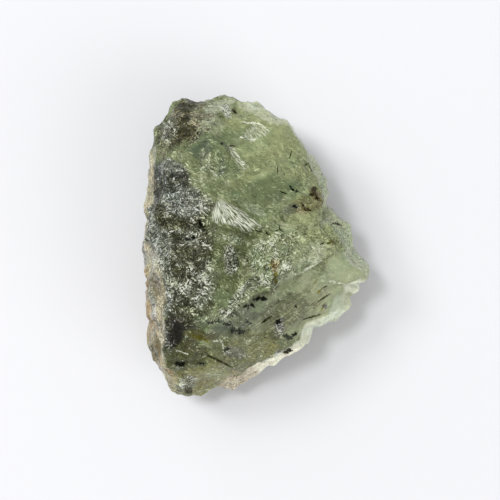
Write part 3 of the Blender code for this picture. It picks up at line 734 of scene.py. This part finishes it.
# each point's finish, with finishes laid over one another by shares: its ground's red, green and blue,
# its flecks' red, green and blue, then flecks, specks, grain and roughness
def paintFinishes(points, upper, wallShare, bearings):
    table = {
        name: np.array((*ground, *prehnite["fleckAndGlintColours"][fleck], *rest))
        for name, (ground, fleck, *rest) in prehnite["finishes"].items()
    }
    coarseBy, coarseSize, coarseSalt = prehnite["coarseTears"]
    fineBy, fineSize, fineSalt = prehnite["fineTears"]
    coarseTear, fineTear = roughNoise(points, coarseSize, coarseSalt), roughNoise(points, fineSize, fineSalt)

    # a share of the way from what is painted to a finish
    def lay(painted, finish, share):
        return painted + share[:, None] * (table[finish] - painted)

    # the mottling runs through its finishes as its noise rises
    size, salt, contrast, names = prehnite["mottling"]
    level = np.clip(roughNoise(points, size, salt) * contrast + 0.5, 0, 0.999) * (len(names) - 1)
    steps = np.array([table[name] for name in names])
    lower = np.floor(level).astype(int)
    part = (level - lower)[:, None]
    painted = steps[lower] * (1 - part) + steps[lower + 1] * part
    painted = lay(painted, "green", upper)
    seen = seenPlaces(points)
    edge, fade = prehnite["finishEdge"]
    for finish, middle, halfLength, halfWidth, bearing, strength in prehnite["placed"]:
        distance = np.hypot(*ovalPlace(seen, middle, halfLength, halfWidth, bearing))
        distance += coarseBy * coarseTear + fineBy * fineTear
        share = np.clip((edge - distance) / fade, 0, 1)
        painted = lay(painted, finish, upper * strength * share * share * (3 - 2 * share))

    # the right edges are thin: painted paler as light glowing through them, which also lightens their walls
    # that face away from the lamps
    degrees = np.degrees(bearings)
    tearUp, tearAcross = prehnite["spanTears"]
    toward, reach, fade, wallFrom, wallOver = prehnite["rimGlowSpan"]
    pale = np.clip((reach - np.abs(degrees - toward)) / fade, 0, 1)
    pale = pale * np.clip((wallShare - wallFrom) / wallOver + tearUp * fineTear, 0, 1)
    pale = prehnite["rimGlowStrength"] * pale * np.clip(upper + prehnite["rimGlowBelow"], 0, 1)
    painted = lay(painted, "paleRimGlow", pale)

    # the left wall keeps its weathered rind, which reaches a little over the top's edge
    turned = (degrees + 360) % 360
    toward, reach, fade, wallFrom, wallOver = prehnite["rindSpan"]
    towardLeft = np.clip((reach - np.abs(turned - toward)) / fade + tearAcross * coarseTear, 0, 1)
    rind = np.clip((wallShare - wallFrom) / wallOver + tearUp * fineTear, 0, 1)
    border = np.interp(seen[:, 1], *prehnite["rindBorder"])
    outside = np.clip((border - seen[:, 0]) / prehnite["rindFade"] + 0.5 + tearAcross * fineTear, 0, 1)
    rind = towardLeft * (upper * outside + (1 - upper) * rind)
    painted = lay(painted, "rind", rind)
    size, salt, contrast = prehnite["rindStreaks"]
    streaks = roughNoise(points * np.array(prehnite["rindStretch"]), size, salt) * contrast
    painted = lay(painted, "rindGrey", rind * np.clip(streaks, 0, 1))
    size, salt, contrast = prehnite["rindStains"]
    stains = np.clip(roughNoise(points, size, salt) * contrast - prehnite["stainsLess"], 0, 1)
    painted = lay(painted, "rindOrange", rind * stains * prehnite["stainStrength"])
    return painted, rind


# how strongly each point lies in any of some ovals: 1 in the middle, 0.5 on the oval, 0 at twice its size
def ovalStrength(points, ovals):
    return np.max([np.clip(1 - 0.5 * np.hypot(*ovalPlace(points, *oval)), 0, 1) for oval in ovals], axis=0)


# a fan's patches: inside one, the distance to its nearest side is over 0, and the share rises with it
def fanShare(points, patches):
    fade, onSide = prehnite["fanEdge"]
    shares = []
    for strength, corners in patches:
        inside = np.full(len(points), prehnite["far"])
        for start, end in zip(corners, corners[1:] + corners[:1]):
            side = np.array(end) - np.array(start)
            away = points[:, :2] - np.array(start)
            inside = np.minimum(inside, (side[0] * away[:, 1] - side[1] * away[:, 0]) / np.hypot(*side))
        shares.append(strength * np.clip(inside / fade + onSide, 0, 1))
    return np.max(shares, axis=0)


# the four corners of every square of a grid of point numbers
def quads(grid):
    return np.stack([grid[:-1, :-1], grid[1:, :-1], grid[1:, 1:], grid[:-1, 1:]], axis=-1).reshape(-1, 4)


# rays of one half: rings of the square grid become rings of a disk, which is raised to an even dome
def domeRays(squares, side):
    line = np.linspace(-1, 1, squares + 1)
    across, along = np.meshgrid(line, line, indexing="ij")
    flat = np.abs(across) >= np.abs(along)
    ring = np.where(flat, across, along)
    other = np.where(flat, along, across)
    part = math.pi / 4 * other / np.where(ring == 0, 1, ring)
    turn = np.where(flat, part, math.pi / 2 - part)
    x, y = ring * np.cos(turn), ring * np.sin(turn)
    lift = np.sqrt(2 - ring**2)
    rays = np.stack([x * lift, y * lift, side * (1 - ring**2)], axis=-1).reshape(-1, 3)
    rays = rays * np.array(prehnite["egg"])
    return rays / np.linalg.norm(rays, axis=1, keepdims=True)


# how far each point stands out from its neighbours' middle, along its normal: crests above 0, creases
# below, from -1 to 1
def crestHeight(mesh, faces, points):
    normals = np.empty(points.size, np.float32)
    mesh.vertex_normals.foreach_get("vector", normals)
    starts, ends = faces.ravel(), np.roll(faces, -1, axis=1).ravel()
    counts = np.bincount(starts, minlength=len(points)) + np.bincount(ends, minlength=len(points))

    # the mean over the points that share an edge with each point
    def neighbourMean(values):
        total = np.bincount(starts, values[ends], len(points))
        return (total + np.bincount(ends, values[starts], len(points))) / counts

    middle = np.stack([neighbourMean(points[:, axis]) for axis in range(3)], axis=1)
    height = ((points - middle) * normals.reshape(-1, 3)).sum(axis=1)
    near = neighbourMean(height)
    wide = near
    for _ in range(prehnite["crestReach"]):
        wide = neighbourMean(wide)
    return np.tanh(near / prehnite["crestFine"] + wide / prehnite["crestWide"])


def addObject(name, data):
    made = bpy.data.objects.new(name, data)
    bpy.context.scene.collection.objects.link(made)
    return made


# each point is the heart plus its ray times how far out the surface is; all of them are then fitted
# into the solid's box
def makeStone():
    squares = prehnite["squares"]
    heart = np.array(prehnite["heart"])
    numbers = np.arange((squares + 1) ** 2).reshape(squares + 1, squares + 1)
    lowNumbers = numbers.copy()  # the two halves share their rim
    inner = (squares - 1) ** 2
    lowNumbers[1:-1, 1:-1] = numbers.size + np.arange(inner).reshape(squares - 1, squares - 1)
    lowRays = domeRays(squares, -1).reshape(squares + 1, squares + 1, 3)[1:-1, 1:-1].reshape(-1, 3)
    rays = np.concatenate([domeRays(squares, 1), lowRays])

    reaches, nearest = stoneReach(rays)
    bare = heart + rays * nearest[:, None]
    bearings = np.arctan2(rays[:, 1], rays[:, 0])
    upper = np.clip((bare[:, 2] - wallColumn(bearings, 1)) / prehnite["topFade"] + 1, 0, 1)
    closeness = np.exp((nearest - reaches) / prehnite["closeness"])
    wallShare = closeness[:2].sum(axis=0) / closeness.sum(axis=0)
    painted, rind = paintFinishes(bare, upper, wallShare, bearings)
    print("finishes placed on", len(rays), "points")

    reach = nearest + relief(bare, painted[:, 8])
    pitSize, pitDepth, pitSalt, pitContrast = prehnite["bedPits"]
    pits = pitDepth * np.clip(roughNoise(bare, pitSize, pitSalt) * pitContrast, 0, 1)
    toFloor = rayReach(heart[2], -rays[:, 2])
    reach = np.minimum(reach, toFloor - np.where(rays[:, 2] < -tiny, pits, 0))
    points = heart + rays * reach[:, None]

    # the mesh fills the box of the solid that it stands for
    low, high = (np.array(corner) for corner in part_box("prehnite"))
    span = (high - low) / (points.max(axis=0) - points.min(axis=0))
    placed = low + (points - points.min(axis=0)) * span

    faces = np.concatenate([quads(numbers), quads(lowNumbers)[:, ::-1]])
    mesh = bpy.data.meshes.new("prehniteStone")
    mesh.from_pydata(placed.tolist(), [], faces.tolist())
    mesh.polygons.foreach_set("use_smooth", np.ones(len(faces), bool))

    # stores a value of each point for the material to read
    def keep(name, kind, field, *columns):
        values = np.column_stack(columns).astype(np.float32).ravel()
        mesh.attributes.new(name, kind, "POINT").data.foreach_set(field, values)

    solid = np.ones(len(points))
    keep("groundColour", "FLOAT_COLOR", "color", painted[:, :3], solid)
    keep("fleckAndGlintColour", "FLOAT_COLOR", "color", painted[:, 3:6], solid)
    keep("breakage", "FLOAT_VECTOR", "vector", painted[:, 6:9])
    keep("dullness", "FLOAT", "value", painted[:, 9])
    seen = seenPlaces(bare)
    rust = ovalStrength(seen, prehnite["rustStains"]) * np.clip(upper + rind, 0, 1)
    keep("marks", "FLOAT_VECTOR", "vector", rust, upper * edgeShare(seen), rind)
    fans = [fanShare(seen, patches) for _, patches in prehnite["fans"].values()]
    keep("fanShares", "FLOAT_VECTOR", "vector", *(upper * share for share in fans))
    strengths = [ovalStrength(seen, ovals) for ovals in prehnite["streakPlaces"].values()]
    less = prehnite["streakFade"]
    streaks = [np.clip((1 + less) * strength - less, 0, 1) for strength in strengths]
    keep("streakPlaces", "FLOAT_VECTOR", "vector", *(upper * share for share in streaks))
    mesh.update()
    # crests above 0, creases below: the material paints light on the crests and shade in the creases from
    # them
    keep("crests", "FLOAT", "value", crestHeight(mesh, faces, placed / mm))
    print("stone mesh:", len(faces) * 2, "triangles")
    return addObject("prehniteStone", mesh)


# sets a node's inputs: a wire is linked, and a plain value goes on the socket itself
def feed(node, inputs):
    for name, value in inputs.items():
        if isinstance(value, Wire):
            node.id_data.links.new(value.socket, node.inputs[name])
        else:
            node.inputs[name].default_value = value


# a socket that shader maths is written with: numbers go through Math nodes, colours and vectors through
# Vector Math
class Wire:
    def __init__(self, socket):
        self.socket = socket

    # any node: its type, its settings, which are set first, and the values or links of its sockets
    def node(self, kind, settings, inputs, output=0):
        made = self.socket.id_data.nodes.new("ShaderNode" + kind)
        for name, value in settings.items():
            setattr(made, name, value)
        feed(made, inputs)
        return Wire(made.outputs[output])

    # an operation on wires and plain values: Vector Math where one is a colour or vector, or else Math
    def worked(self, operation, *values):
        kinds = [one.socket.type if isinstance(one, Wire) else type(one) for one in values]
        wide = any(kind not in ("VALUE", int, float) for kind in kinds)
        if wide:
            values = [(one,) * 3 if isinstance(one, (int, float)) else one for one in values]
        return self.node("VectorMath" if wide else "Math", {"operation": operation}, dict(enumerate(values)))

    def maths(self, operation, *others):
        return self.worked(operation, self, *others)

    def __add__(self, other):
        return self.worked("ADD", self, other)

    def __radd__(self, other):
        return self.worked("ADD", other, self)

    def __sub__(self, other):
        return self.worked("SUBTRACT", self, other)

    def __rsub__(self, other):
        return self.worked("SUBTRACT", other, self)

    def __mul__(self, other):
        return self.worked("MULTIPLY", self, other)

    def __rmul__(self, other):
        return self.worked("MULTIPLY", other, self)

    def __truediv__(self, other):
        return self.worked("DIVIDE", self, other)

    def __rtruediv__(self, other):
        return self.worked("DIVIDE", other, self)

    # eases from 0 to 1 as the value goes from low to high
    def eased(self, low, high):
        inputs = {"Value": self, "From Min": low, "From Max": high}
        return self.node("MapRange", {"interpolation_type": "SMOOTHSTEP"}, inputs)

    # this colour, going over to another one by a share
    def toward(self, other, share):
        return self.node("Mix", {"data_type": "RGBA"}, {0: share, 6: self, 7: other}, 2)

    # noise from 0 to 1 with lumps about `size` mm across; detail adds finer noise to it
    def noise(self, size, detail, rough, output=0):
        inputs = {"Vector": self, "Scale": 1 / size, "Detail": detail, "Roughness": rough}
        return self.node("TexNoise", {}, inputs, output)

    # noise whose lumps are drawn out: the axes that count for less than 1 are the ones it is long along
    def strokes(self, bearing, stretch, *look):
        return (self.turned(bearing) * stretch).noise(*look)

    # flat facets about `size` mm across, each tilted its own way, as a height in mm
    def facets(self, size):
        cells = self.node("TexVoronoi", {}, {"Vector": self, "Scale": 1 / size}, "Color")
        middle = Wire(cells.socket.node.outputs["Position"])
        inputs = {0: self - middle, 1: cells - 0.5}
        return self.node("VectorMath", {"operation": "DOT_PRODUCT"}, inputs, "Value")

    # thin strokes that run round the middles of cells: noise that is fine along the distance to a cell's
    # middle and long across it
    def curls(self, size, width, length):
        cells = self.node("TexVoronoi", {}, {"Vector": self, "Scale": 1 / size}, "Distance")
        tint = Wire(cells.socket.node.outputs["Color"]).part(0)
        turn = self.node("CombineXYZ", {}, {0: cells * (size / width), 1: tint * prehnite["curlShift"]})
        return (self * (1 / length) + turn).noise(1.0, 1.0, 0.5)

    # the place turned back by a bearing, so that what lies along it lies along X
    def turned(self, bearing):
        angle = math.radians(-bearing)
        return self.node("VectorRotate", {"rotation_type": "Z_AXIS"}, {"Vector": self, "Angle": angle})

    # how far a place is from a turned oval's middle, seen from above, counted in its half sizes
    def ovalDistance(self, middle, halfLength, halfWidth, bearing):
        away = (self - (*middle, 0.0)).turned(bearing) * (1 / halfLength, 1 / halfWidth, 0.0)
        return away.node("VectorMath", {"operation": "LENGTH"}, {0: away}, "Value")

    # one of the three numbers of a vector
    def part(self, axis):
        return self.node("SeparateXYZ", {}, {0: self}, axis)


# the largest or smallest of several wires
def pick(operation, wires):
    return reduce(lambda one, other: one.maths(operation, other), wires)


# a new material: itself, its shader, and the place of each point in the object's own metres
def newMaterial(name):
    material = bpy.data.materials.new(name)
    material.use_nodes = True
    nodes = material.node_tree.nodes
    return material, nodes["Principled BSDF"], Wire(nodes.new("ShaderNodeTexCoord").outputs["Object"])


# a ground colour with painted light on its crests and painted shade in its creases, and specks, flecks that
# are partly painted glints, hairs, fibres with a partly painted sheen, streaks and inclusions laid over it,
# each by its share
def stoneMaterial():
    material, shader, place = newMaterial("prehniteMineral")
    noises, drawnOut = prehnite["noises"], prehnite["drawnOut"]
    rises, covers = prehnite["rises"], prehnite["covers"]

    def attribute(name, output):
        return place.node("Attribute", {"attribute_name": name}, {}, output)

    point = place * (1 / mm)
    eye = prehnite["eye"]
    sight = point - eye
    seen = sight * ((prehnite["measuredAt"] - eye[2]) / sight.part(2)) + eye  # as in seenPlaces
    ground = attribute("groundColour", "Color")
    flecks, specks, grain = (attribute("breakage", "Vector").part(axis) for axis in range(3))
    rustPlace, edgePlace, rindPlace = (attribute("marks", "Vector").part(axis) for axis in range(3))
    crests = attribute("crests", "Fac")

    # an amount that grows with the grain
    def byGrain(name):
        more, least = prehnite["byGrain"][name]
        return grain * more + least

    # strokes: curls on the rough patches, straighter threads on the glassy ones
    bent = point + (point.noise(*noises["bends"], output="Color") - 0.5) * prehnite["bend"]
    drawn = bent * prehnite["speckStretch"]
    patches = point.noise(*noises["patches"])
    wideCurls = bent.curls(*prehnite["wideCurls"])
    tightCurls = (point + (bent - point) * prehnite["tightBend"]).curls(*prehnite["tightCurls"])
    threads = bent.strokes(*drawnOut["threads"])
    curls = wideCurls + (tightCurls - wideCurls) * (1.0 - patches).eased(*rises["tightCurls"])
    strokes = threads + (curls - threads) * grain.eased(*rises["rough"])
    crumbs = point.noise(*noises["crumbs"])
    light = strokes * (1 - prehnite["crumbsInLight"]) + crumbs * prehnite["crumbsInLight"]
    folds = bent.strokes(*drawnOut["folds"])

    # hairs: thin where their noise crosses its middle, and broken up
    clumps = point.noise(*noises["clumps"]) - 0.5
    crossing = (bent.strokes(*drawnOut["hairs"]) - 0.5).maths("ABSOLUTE")
    winding = (1.0 - crossing * prehnite["hairSharpness"]).maths("MAXIMUM", 0.0)
    hairs = winding * (point.noise(*noises["hairBreaks"]) + clumps).eased(*rises["hairs"])

    # the ground's tone and hue with rust in it, painted light on crests and painted shade in creases, then
    # dark specks, pale flecks that are partly painted glints, and hairs
    torn = point.noise(*noises["tears"]) - 0.5
    rustShare = (rustPlace + torn * prehnite["rustFray"]).eased(*rises["rust"])
    ground = ground.toward(prehnite["rustColour"], rustShare * covers["rust"])
    shade = (light - 0.5) * byGrain("shade") + (folds - 0.5) * prehnite["foldShade"]
    # the crests term paints light on crests and shade in creases
    shade = shade + (patches - 0.5) * prehnite["patchShade"] + crests * prehnite["crestLightCreaseShade"] + 1.0
    colour = ground * shade.maths("MAXIMUM", prehnite["darkest"])
    hue = point.noise(*noises["hue"]).eased(*rises["hue"])
    colour = colour.toward(colour * prehnite["hueShift"], hue * covers["hue"])
    clumps = clumps * byGrain("clumps")
    # pale flecks gather on crests as painted highlights
    fleckNoise = light + clumps + crests * prehnite["crestHighlightFlecks"]
    fleckAndGlintShare = (fleckNoise + flecks * prehnite["fleckAmount"]).eased(*rises["flecks"])
    speckNoise = (drawn + prehnite["speckShift"]).noise(*noises["specks"])
    speckNoise = speckNoise * (1 - prehnite["crumbsInSpecks"]) + crumbs * prehnite["crumbsInSpecks"]
    # dark specks gather in creases as painted shade
    speckNoise = speckNoise - clumps - crests * prehnite["creaseShadeSpecks"]
    speckShare = (speckNoise + specks * prehnite["speckAmount"]).eased(*rises["specks"])
    colour = colour.toward(ground * prehnite["speckShade"], speckShare * covers["specks"])
    # pale flecks: whitened broken grains and partly painted glints
    colour = colour.toward(attribute("fleckAndGlintColour", "Color"), fleckAndGlintShare * covers["flecks"])
    colour = colour.toward(prehnite["hairColour"], hairs * (flecks + prehnite["hairLeast"]))

    # fibres spread from each fan's point: noise that is fine around it and long away from it; their pale
    # colour is whitened fibre and partly a painted sheen
    fanPlaces = attribute("fanShares", "Vector")
    tornBy, crumbledBy = prehnite["fanFray"]
    fanShares, fibres = [], []
    for number, (apex, _) in enumerate(prehnite["fans"].values()):
        east = seen.part(0) - apex[0]
        north = seen.part(1) - apex[1]
        radius = (east * east + north * north).maths("SQRT")
        around = north.maths("ARCTAN2", east) * prehnite["fanLines"] + clumps * prehnite["fibreBend"]
        fan = point.node("CombineXYZ", {}, {0: around, 1: radius * prehnite["fibreChange"]})
        inside = fanPlaces.part(number)
        frayed = inside + torn * tornBy + (crumbs - 0.5) * crumbledBy
        fanShares.append(frayed.eased(*rises["fan"]) * inside)
        fibres.append(fan.noise(*noises["fibres"]).eased(*rises["fibres"]) * fanShares[-1])
    fibres = pick("MAXIMUM", fibres)
    colour = colour.toward(prehnite["fanGapColour"], pick("MAXIMUM", fanShares) * covers["fanGaps"])
    colour = colour.toward(prehnite["fanFibreAndSheenColour"], fibres * covers["fibres"])

    # fine streaks: noise drawn out along one bearing
    streakPlaces = attribute("streakPlaces", "Vector")
    level = bent.strokes(*drawnOut["level"]).eased(*rises["level"]) * streakPlaces.part(0)
    slanting = point.strokes(*drawnOut["slanting"])
    slantLines = slanting.eased(*rises["slanting"]) * streakPlaces.part(1)
    colour = colour.toward(prehnite["streakColour"], pick("MAXIMUM", (level, slantLines)) * covers["streaks"])
    stain = (1.0 - slanting).eased(*rises["stain"]) * streakPlaces.part(2)
    colour = colour.toward(prehnite["stainColour"], stain * covers["stain"])
    wallLines = (point * prehnite["wallStretch"]).noise(*noises["wallLines"]).eased(*rises["wallLines"])
    colour = colour * (1.0 - wallLines * rindPlace * covers["wallLines"])

    # bright edges, broken up by the strokes' noise
    brightShare = (edgePlace + (light - 0.5) * prehnite["edgeFray"]).eased(*rises["brightEdges"])
    colour = colour.toward(prehnite["edgeColour"], brightShare * covers["brightEdges"])

    # inclusions: ovals seen from above, with frayed outlines and a faint shadow round them; pale flecks,
    # partly painted glints, break through them
    fray = point.noise(*noises["frays"], output="Color") - 0.5
    showing = covers["inclusions"] - fleckAndGlintShare * prehnite["fleckBreaks"]
    showing = showing * point.part(2).eased(*rises["height"])
    opaque = []
    for tint, fraying, ovals in prehnite["inclusions"].values():
        moved = seen + fray * fraying
        nearest = pick("MINIMUM", [moved.ovalDistance(*oval) for oval in ovals])
        halo = (1.0 - nearest * 0.5).eased(*rises["halo"])
        colour = colour * (1.0 - halo * showing * covers["halo"])
        opaque.append((1.0 - nearest).eased(*rises["inclusions"]) * showing)
        colour = colour.toward(tint, opaque[-1])

    # relief: tilted facets of two sizes, the strokes and soft lumps
    (wideSize, wideHeight), (tightSize, tightHeight) = prehnite["wideFacets"], prehnite["tightFacets"]
    facets = bent.facets(wideSize) * wideHeight + drawn.facets(tightSize) * tightHeight
    height = facets * byGrain("facets") + light * byGrain("strokes")
    height = height + hairs * flecks * prehnite["hairHeight"]
    height = height + point.noise(*noises["lumps"]) * byGrain("lumps") + fibres * prehnite["fibreHeight"]

    feed(shader, {
        "Base Color": colour,
        "Metallic": pick("MAXIMUM", opaque) * prehnite["metal"],
        "Roughness": attribute("dullness", "Fac"),
        "Normal": point.node("Bump", {}, {"Height": height, "Distance": mm, "Strength": 1.0}, "Normal"),
        **prehnite["shader"],
    })
    print("stone material:", len(material.node_tree.nodes), "nodes")
    return material


floorValues = {
    "half": 1.2,  # metres
    "squares": 8,
    "colour": (0.715, 0.722, 0.758, 1.0),
    "paler": (0.727, 0.734, 0.770, 1.0),
    "clouds": (0.25, 2.0, 0.55),  # size in metres, detail, roughness
    "shader": {"Roughness": 0.9, "Specular IOR Level": 0.1},
}


# a plain level sheet whose shade drifts very slightly
def makeFloor():
    line = np.linspace(-floorValues["half"], floorValues["half"], floorValues["squares"] + 1)
    x, y = np.meshgrid(line, line, indexing="ij")
    points = np.stack([x, y, np.zeros_like(x)], axis=-1).reshape(-1, 3)
    mesh = bpy.data.meshes.new("floor")
    mesh.from_pydata(points.tolist(), [], quads(np.arange(len(points)).reshape(x.shape)).tolist())
    material, shader, place = newMaterial("paleFloor")
    cloud = place.noise(*floorValues["clouds"])
    colours = {0: cloud, 6: floorValues["colour"], 7: floorValues["paler"]}
    colour = cloud.node("Mix", {"data_type": "RGBA"}, colours, 2)
    feed(shader, {"Base Color": colour, **floorValues["shader"]})
    mesh.materials.append(material)
    print("floor made")
    return addObject("floor", mesh)


lightValues = {
    "roomColour": (1.0, 0.985, 0.945, 1.0),
    "roomStrength": 0.54,
    # each panel: its place and size in metres, and its power in watts
    "panels": {
        "glintBox": ((-0.44, 0.28, 1.04), 0.26, 5.0),
        "sideBox": ((-0.82, 0.46, 0.80), 0.34, 5.0),
        "widePanel": ((-0.60, 0.90, 0.80), 0.80, 3.0),
        "backFill": ((0.80, -0.70, 0.50), 1.00, 6.0),
    },
}


# an even pale room and square panels that face the stone
def makeLights():
    world = bpy.data.worlds.new("room")
    world.use_nodes = True
    background = world.node_tree.nodes["Background"]
    background.inputs["Color"].default_value = lightValues["roomColour"]
    background.inputs["Strength"].default_value = lightValues["roomStrength"]
    bpy.context.scene.world = world
    for name, (where, size, power) in lightValues["panels"].items():
        light = bpy.data.lights.new(name, "AREA")
        light.size = size
        light.energy = power
        panel = addObject(name, light)
        panel.location = where
        panel.rotation_euler = (-panel.location).to_track_quat("-Z", "Y").to_euler()
    print("lights made:", len(lightValues["panels"]))


cameraValues = {
    "place": (-1.014 * mm, -0.546 * mm, 223.2 * mm),
    "lens": 100,
    "sensor": 36,
    "nearest": 0.01,  # what is nearer or farther than this, in metres, isn't drawn
    "farthest": 10,
}


# a camera above the stone; unturned, it looks straight down
def makeCamera():
    camera = bpy.data.cameras.new("camera")
    camera.lens = cameraValues["lens"]
    camera.sensor_width = cameraValues["sensor"]
    camera.clip_start = cameraValues["nearest"]
    camera.clip_end = cameraValues["farthest"]
    holder = addObject("camera", camera)
    holder.location = cameraValues["place"]
    bpy.context.scene.camera = holder
    bpy.context.scene.view_settings.view_transform = "Standard"
    print("camera placed")


makeCamera()
makeLights()
floor = makeFloor()

stone = makeStone()
stone.data.materials.append(stoneMaterial())
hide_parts("prehnite")
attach(stone, "root")
